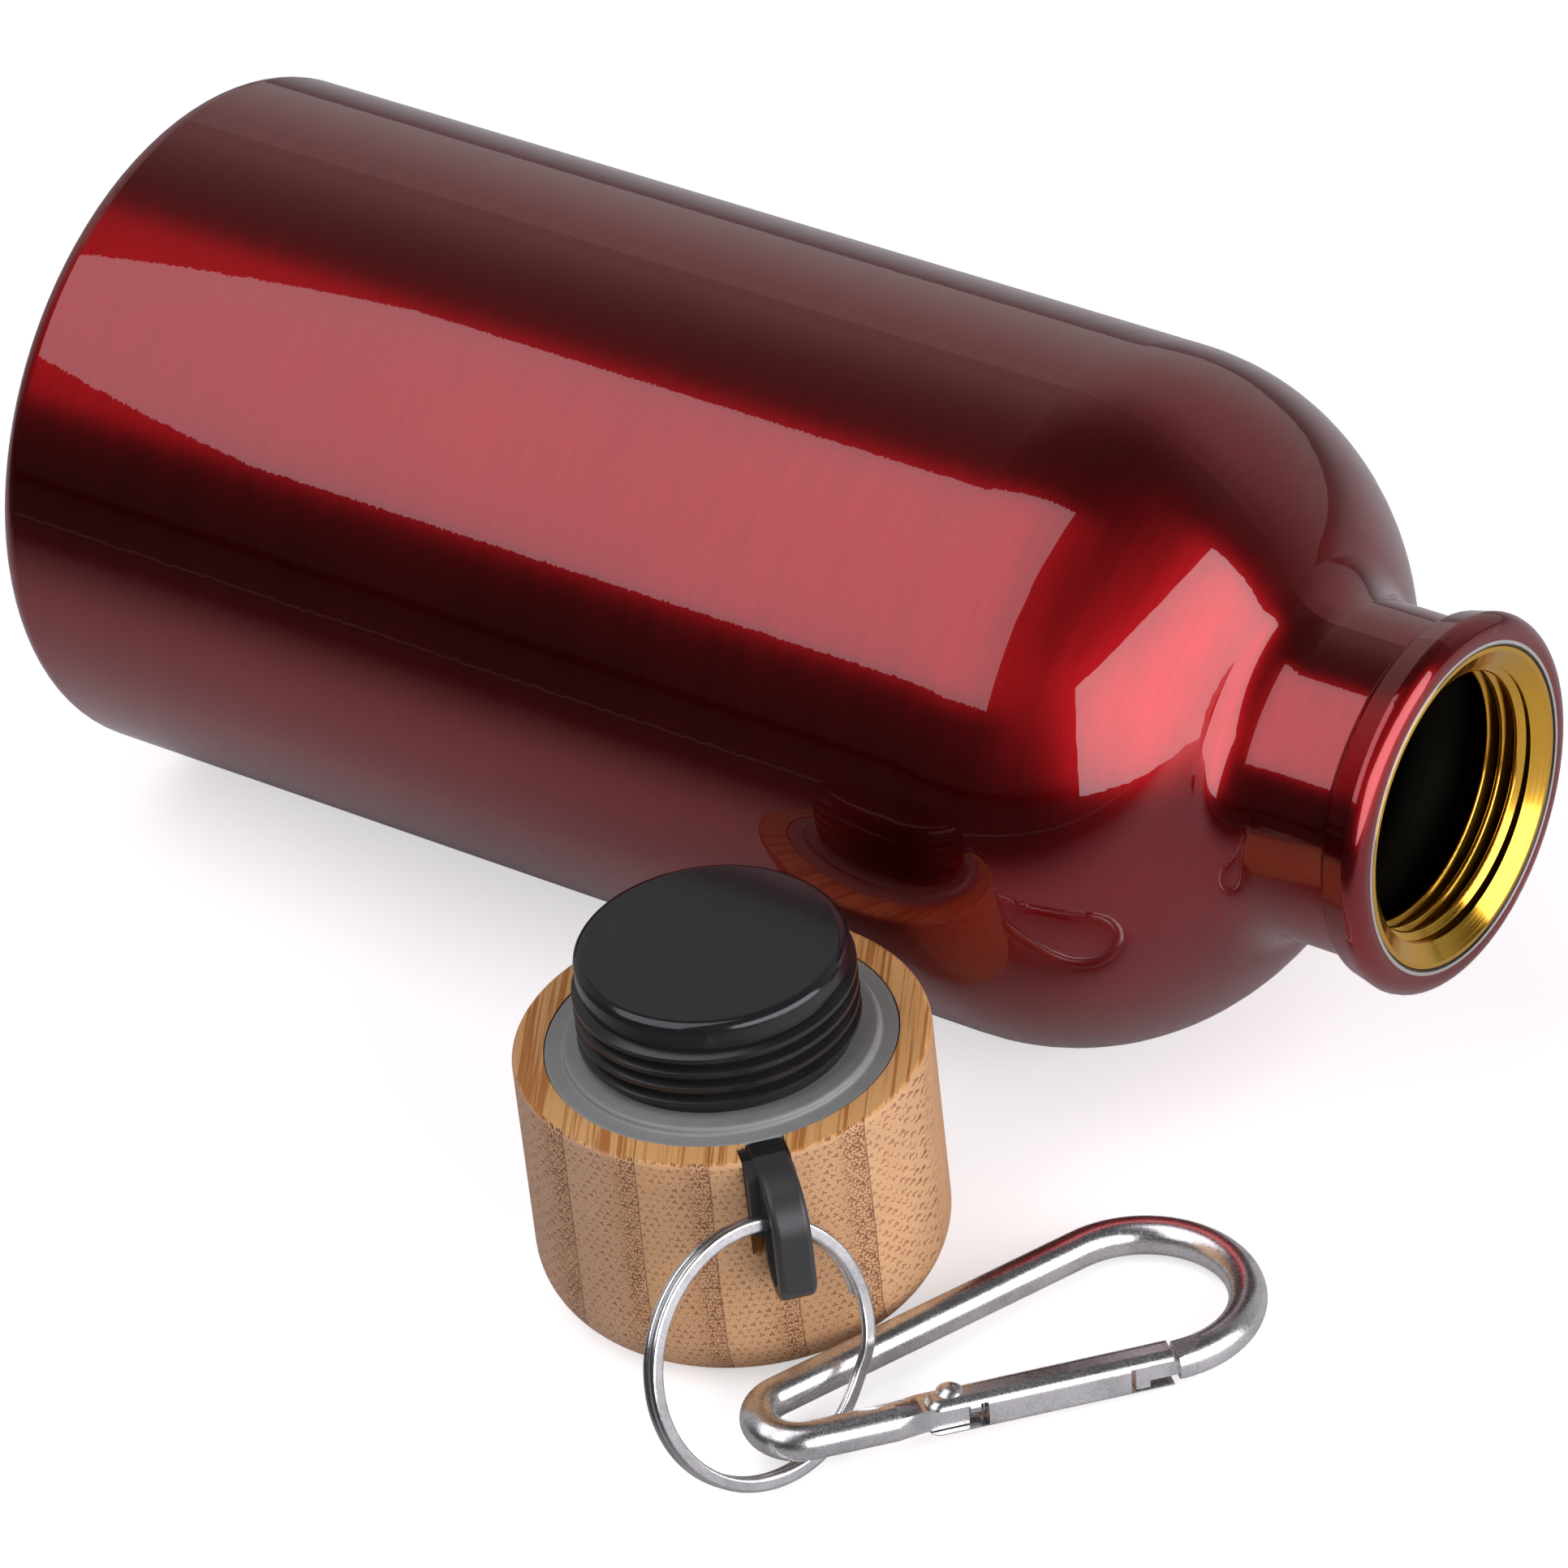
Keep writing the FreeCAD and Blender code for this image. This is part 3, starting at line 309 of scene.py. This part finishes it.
def bundle_dots(graph, across, height, pitch, seed):
    """Ends of the fibre bundles: staggered rows of small rosettes, each in a pale patch."""
    rows = graph.times(height, ROWS_PER_PITCH / pitch)
    row = graph.math("FLOOR", rows)
    stagger = graph.times(graph.math("MODULO", row, 2.0), 0.5)
    columns = graph.plus(graph.times(across, 1 / pitch), graph.plus(stagger, seed))
    cell = graph.join(graph.math("FLOOR", columns), row, 0.0)
    chance = graph.add("ShaderNodeTexWhiteNoise", {"noise_dimensions": "2D"}, {"Vector": cell})
    stray_side, stray_up, stray_size = graph.split(chance.outputs[1])
    side = graph.plus(graph.minus(graph.math("FRACT", columns), 0.65), graph.times(stray_side, 0.30))
    up = graph.plus(graph.minus(graph.math("FRACT", rows), 0.65), graph.times(stray_up, 0.30))
    distance = graph.times(graph.vector("LENGTH", graph.join(side, up, 0.0)), pitch)
    # A rosette is three spots round a pale middle, turned by chance.
    third = 2 * math.pi / 3
    chance_turn = graph.plus(graph.times(stray_size, third), 4 * math.pi)
    turn = graph.plus(graph.math("ARCTAN2", up, side), chance_turn)
    lobe = graph.minus(graph.math("MODULO", turn, third), third / 2)
    lobe_out = graph.minus(graph.times(distance, graph.math("COSINE", lobe)), ROSETTE_RADIUS)
    lobe_side = graph.times(distance, graph.math("SINE", lobe))
    from_spot = graph.vector("LENGTH", graph.join(lobe_out, lobe_side, 0.0))
    edge = graph.plus(0.07, graph.times(stray_size, 0.05))
    spot = graph.fade(graph.minus(from_spot, edge), -0.03, 0.05, 1.0, 0.0)
    patch = graph.fade(distance, 0.20, 0.40, 1.0, 0.0)
    return spot, patch


def strip_dots(graph, across, height, depth):
    """Wide dots through most of a strip's depth, and tight ones towards its skin."""
    wide_spot, wide_patch = bundle_dots(graph, across, height, WIDE_PITCH, 0.0)
    tight_spot, tight_patch = bundle_dots(graph, across, height, TIGHT_PITCH, 7.0)
    use_tight = graph.fade(depth, 0.60, 0.82)
    use_wide = graph.minus(1.0, use_tight)
    spot = graph.plus(graph.times(wide_spot, use_wide), graph.times(tight_spot, use_tight))
    patch = graph.plus(graph.times(wide_patch, use_wide), graph.times(tight_patch, use_tight))
    return spot, patch


def stretched(graph, across, along, height, rates):
    """A place for noise that runs at its own rate across the grain, along it and upwards."""
    return graph.join(
        graph.times(across, rates[0]),
        graph.times(along, rates[1]),
        graph.times(height, rates[2]),
    )


def bamboo():
    """Oiled bamboo of glued strips: dots round the side where the fibres end, streaks on the rim, and
    a rim colour that is partly painted light.
    """
    material, graph, shader = new_material("bamboo")
    fibre, across_grain = grain_directions()
    point = from_cap_axis(graph)
    along = graph.vector("DOT_PRODUCT", point, fibre)
    height = graph.split(point)[2]
    sway = graph.noise(graph.join(graph.times(along, 0.05), graph.times(height, 0.05), 0.0), 1.0, 1.0)
    across = graph.vector("DOT_PRODUCT", point, across_grain)
    across = graph.plus(across, graph.times(sway, STRIP_SWAY))
    strips = graph.times(graph.minus(across, STRIP_START), 1 / STRIP_WIDTH)
    strip = graph.math("FLOOR", strips)
    depth = graph.math("FRACT", strips)
    tint = graph.add("ShaderNodeTexWhiteNoise", {"noise_dimensions": "1D"}, {"W": strip}).outputs[0]
    facing = graph.facing()
    on_top = graph.fade(graph.split(facing)[2], 0.5, 0.9)
    end_grain = graph.math("ABSOLUTE", graph.vector("DOT_PRODUCT", facing, fibre))
    end_share = graph.fade(end_grain, 0.04, 0.30)
    skin = graph.fade(depth, 0.35, 1.0)
    spot, patch = strip_dots(graph, across, height, depth)
    streak = graph.noise(stretched(graph, across, along, height, (1.9, 0.030, 1.1)), 1.0, 3.0, 0.6)
    fine = graph.noise(stretched(graph, across, along, height, (9.0, 0.4, 9.0)))
    cloud = graph.noise(point, 0.12, 2.0)
    greyish = graph.fade(across, *GREYISH_ACROSS, 1.0, 0.0)
    ground = graph.mix(tint, BAMBOO_DARK, BAMBOO_LIGHT)
    # Greyish tan towards the low end across the grain.
    ground = graph.mix(graph.times(greyish, 0.8), ground, BAMBOO_GREYISH)
    ground = graph.mix(graph.times(skin, 0.45), ground, BAMBOO_SKIN)
    ground = graph.mix(graph.times(graph.fade(cloud, 0.35, 0.7), 0.25), ground, BAMBOO_CLOUD)
    ground = graph.mix(graph.times(graph.fade(fine, 0.35, 0.75), 0.18), ground, BAMBOO_FIBRE)
    # The face-up rim: partly its own long-grain orange, partly painted light that makes it lighter.
    ground = graph.mix(graph.times(on_top, 0.75), ground, BAMBOO_RIM_GRAIN_AND_LIGHT)
    spot_colour = graph.mix(skin, SPOT_LIGHT, SPOT_DARK)
    spot_share = graph.times(graph.times(spot, end_share), graph.fade(depth, 0.0, 0.8, 0.70, 1.0))
    dotted = graph.mix(graph.times(graph.times(patch, end_share), 0.45), ground, BAMBOO_PATCH)
    dotted = graph.mix(spot_share, dotted, spot_colour)
    streak_share = graph.times(graph.fade(streak, 0.47, 0.60), on_top)
    grained = graph.mix(graph.times(streak_share, 0.9), dotted, BAMBOO_STREAK)
    joint_gap = graph.math("MINIMUM", depth, graph.minus(1.0, depth))
    joint = graph.fade(joint_gap, 0.004, 0.014, 1.0, 0.0)
    graph.put(shader.inputs["Base Color"], graph.mix(graph.times(joint, 0.6), grained, BAMBOO_JOINT))
    graph.put(shader.inputs["Roughness"], graph.fade(fine, 0.2, 0.8, 0.42, 0.60))
    shader.inputs["Specular IOR Level"].default_value = 0.35
    shader.inputs["Subsurface Weight"].default_value = 0.05
    shader.inputs["Subsurface Radius"].default_value = (0.0006, 0.0004, 0.0002)
    relief = graph.minus(graph.times(fine, 0.4), graph.plus(graph.times(spot_share, 0.6), joint))
    graph.put(shader.inputs["Normal"], graph.bump(relief, 0.35, 0.00006))
    return material


def black_plastic():
    """Glossy moulded plastic, a little duller in the thread, with faint dust and a parting line."""
    material, graph, shader = new_material("black_plastic")
    point = graph.place()
    x, y, z = graph.split(from_cap_axis(graph))
    cloud = graph.noise(point, 0.35, 3.0)
    grain = graph.noise(point, 4.0, 2.0)
    dust = graph.fade(graph.noise(point, 2.6, 1.0), 0.72, 0.80)
    thread = graph.times(graph.above(z, THREAD_LOW), graph.below(z, THREAD_HIGH))
    strap = graph.above(graph.vector("LENGTH", graph.join(x, y, 0.0)), STRAP_START)
    dull = graph.plus(graph.fade(thread, 0.0, 1.0, 0.10, 0.22), graph.times(strap, 0.24))
    graph.put(shader.inputs["Roughness"], graph.plus(dull, graph.times(cloud, 0.07)))
    black = graph.mix(cloud, PLASTIC_BLACK, PLASTIC_GREY)
    black = graph.mix(strap, black, PLASTIC_STRAP)
    graph.put(shader.inputs["Base Color"], graph.mix(graph.times(dust, 0.25), black, DUST))
    angle = graph.math("ARCTAN2", y, x)
    from_seam = graph.math("ABSOLUTE", graph.minus(angle, PARTING_HEADING))
    seam = graph.fade(from_seam, 0.0, 0.02, 1.0, 0.0)
    relief = graph.plus(graph.times(grain, 0.25), graph.times(graph.times(seam, thread), 2.0))
    graph.put(shader.inputs["Normal"], graph.bump(relief, 0.12, 0.00005))
    return material


def grey_rubber():
    """Soft grey silicone with a slight bloom and moulding rings."""
    material, graph, shader = new_material("grey_rubber")
    point = from_cap_axis(graph)
    x, y, _ = graph.split(point)
    radius = graph.vector("LENGTH", graph.join(x, y, 0.0))
    cloud = graph.noise(point, 0.5, 3.0)
    rings = graph.noise(graph.join(graph.times(radius, 2.2), 0.0, 0.0), 1.0, 2.0)
    bloom = graph.plus(graph.times(cloud, 0.5), graph.times(rings, 0.5))
    graph.put(shader.inputs["Base Color"], graph.mix(bloom, RUBBER_DARK, RUBBER_LIGHT))
    graph.put(shader.inputs["Roughness"], graph.fade(bloom, 0.2, 0.8, 0.38, 0.55))
    shader.inputs["Subsurface Weight"].default_value = 0.15
    shader.inputs["Subsurface Radius"].default_value = (0.001, 0.001, 0.001)
    graph.put(shader.inputs["Normal"], graph.bump(bloom, 0.2, 0.00008))
    return material


def steel(name, colour, rough_low, rough_high, pitting):
    """Worked steel or plated zinc: colour, range of roughness and depth of the fine pitting."""
    material, graph, shader = new_material(name)
    point = graph.place()
    cloud = graph.noise(point, 0.30, 3.0)
    pits = graph.noise(point, 3.2, 3.0, 0.6)
    scratch = graph.noise(graph.vector("MULTIPLY", point, (1.0, 6.0, 6.0)), 1.4, 2.0)
    dark = tuple(share * 0.72 for share in colour)
    wear = graph.fade(graph.plus(graph.times(cloud, 0.6), graph.times(pits, 0.4)), 0.40, 0.68)
    graph.put(shader.inputs["Base Color"], graph.mix(wear, colour, dark))
    shader.inputs["Metallic"].default_value = 1.0
    graph.put(shader.inputs["Roughness"], graph.fade(scratch, 0.25, 0.75, rough_low, rough_high))
    graph.put(shader.inputs["Normal"], graph.bump(pits, pitting, 0.00005))
    return material


def dress_all():
    black = black_plastic()
    plated = steel("hook_metal", PLATED_STEEL, 0.20, 0.33, 0.16)
    bright = steel("ring_steel", PLATED_STEEL, 0.16, 0.26, 0.06)
    spring = steel("spring_steel", SPRING_STEEL, 0.15, 0.28, 0.10)
    dress("bottle_shell", red_lacquer())
    dress("thread_collar", gold_lacquer())
    dress("bamboo_cap", bamboo())
    dress("cap_insert", black)
    dress("gasket", grey_rubber())
    dress("split_ring", bright)
    for name in ("carabiner_body", "carabiner_gate", "gate_rivet"):
        dress(name, plated)
    for name in ("spring_plunger", "gate_spring"):
        dress(name, spring)


def make_floor():
    """A pale lit sheet.  Reflections see it darken to the front, with a bright line at its edge."""
    bpy.ops.mesh.primitive_plane_add(size=FLOOR_SIZE, location=(0.0, 0.0, -FLOOR_DROP))
    floor = bpy.context.object
    floor.name = "floor"
    material = bpy.data.materials.new("floor_paper")
    material.use_nodes = True
    material.cycles.emission_sampling = "NONE"
    graph = Graph(material.node_tree)
    path = graph.add("ShaderNodeLightPath")
    y = graph.split(graph.add("ShaderNodeTexCoord").outputs["Object"])[1]
    sheet = graph.fade(y, *TABLE_FADE, 0.05, 0.62)
    front_edge = graph.times(graph.above(y, TABLE_EDGE[0]), graph.below(y, TABLE_EDGE[1]))
    table = graph.plus(sheet, graph.times(front_edge, 0.18))
    paper_white = (PAPER_WHITE, PAPER_WHITE, PAPER_WHITE)
    white = graph.mix(path.outputs["Is Glossy Ray"], paper_white, graph.join(table, table, table))
    glow = graph.times(path.outputs["Is Camera Ray"], PAPER_GLOW)
    paper = graph.add("ShaderNodeBsdfDiffuse", None, {"Color": white})
    back_light = graph.add("ShaderNodeEmission", None, {"Strength": glow})
    both = graph.add("ShaderNodeAddShader", None, {0: paper.outputs[0], 1: back_light.outputs[0]})
    graph.put(material.node_tree.nodes["Material Output"].inputs["Surface"], both.outputs[0])
    floor.data.materials.append(material)


def make_world():
    """A pale wall behind the bottle and a dim room in front of it; the camera sees an even white."""
    world = bpy.data.worlds.new("studio")
    bpy.context.scene.world = world
    world.use_nodes = True
    graph = Graph(world.node_tree)
    background = world.node_tree.nodes["Background"]
    toward = graph.add("ShaderNodeTexCoord").outputs["Generated"]
    z = graph.split(toward)[2]
    behind = graph.fade(graph.vector("DOT_PRODUCT", toward, WALL_DIRECTION), 0.0, 0.6)
    wall = graph.fade(z, 0.50, 0.88, WALL_GLOW, WALL_TOP_GLOW)
    room = graph.plus(ROOM_GLOW, graph.times(behind, wall))
    seen = graph.add("ShaderNodeLightPath").outputs["Is Camera Ray"]
    strength = graph.plus(graph.times(seen, SEEN_WHITE), graph.times(graph.minus(1.0, seen), room))
    graph.put(background.inputs["Color"], (1.0, 1.0, 1.0))
    graph.put(background.inputs["Strength"], strength)


def make_softbox(name, centre, target, width, height, radiance, tint):
    """A rectangular light of even radiance at centre, turned to target, both measured from STUDIO."""
    data = bpy.data.lights.new(name, "AREA")
    data.color = tint
    data.shape = "RECTANGLE"
    data.size = width
    data.size_y = height
    data.energy = radiance * math.pi * width * height
    light = bpy.data.objects.new(name, data)
    bpy.context.scene.collection.objects.link(light)
    light.location = STUDIO + Vector(centre)
    light.rotation_mode = "QUATERNION"
    light.rotation_quaternion = (Vector(target) - Vector(centre)).to_track_quat("-Z", "Y")


def make_lights():
    make_softbox(
        "softbox_front",
        centre=(-0.140, -0.322, 0.570),
        target=(-0.140, 0.023, 0.045),
        width=0.62,
        height=0.80,
        radiance=2.05,
        tint=(1.0, 0.955, 1.03),
    )
    make_softbox(
        "softbox_right",
        centre=(0.550, -0.100, 0.080),
        target=(0.0, -0.100, 0.080),
        width=0.70,
        height=0.62,
        radiance=3.8,
        tint=(1.0, 0.97, 1.03),
    )


def make_camera():
    target = STUDIO + Vector((0.0737, -0.0105, 0.0192))
    distance = 0.9383
    azimuth = math.radians(-50.78)
    elevation = math.radians(35.197)
    roll = math.radians(-6.657)
    back = Vector((
        math.cos(elevation) * math.cos(azimuth),
        math.cos(elevation) * math.sin(azimuth),
        math.sin(elevation),
    ))
    data = bpy.data.cameras.new("camera")
    data.sensor_width = 36.0
    data.lens = 231.625
    data.clip_start = 0.01
    data.clip_end = 20.0
    camera = bpy.data.objects.new("camera", data)
    bpy.context.scene.collection.objects.link(camera)
    camera.location = target + back * distance
    camera.rotation_mode = "QUATERNION"
    camera.rotation_quaternion = (-back).to_track_quat("-Z", "Y") @ Quaternion((0.0, 0.0, 1.0), roll)
    bpy.context.scene.camera = camera


dress_all()
make_floor()
make_world()
make_lights()
make_camera()
bpy.context.scene.view_settings.view_transform = "Standard"
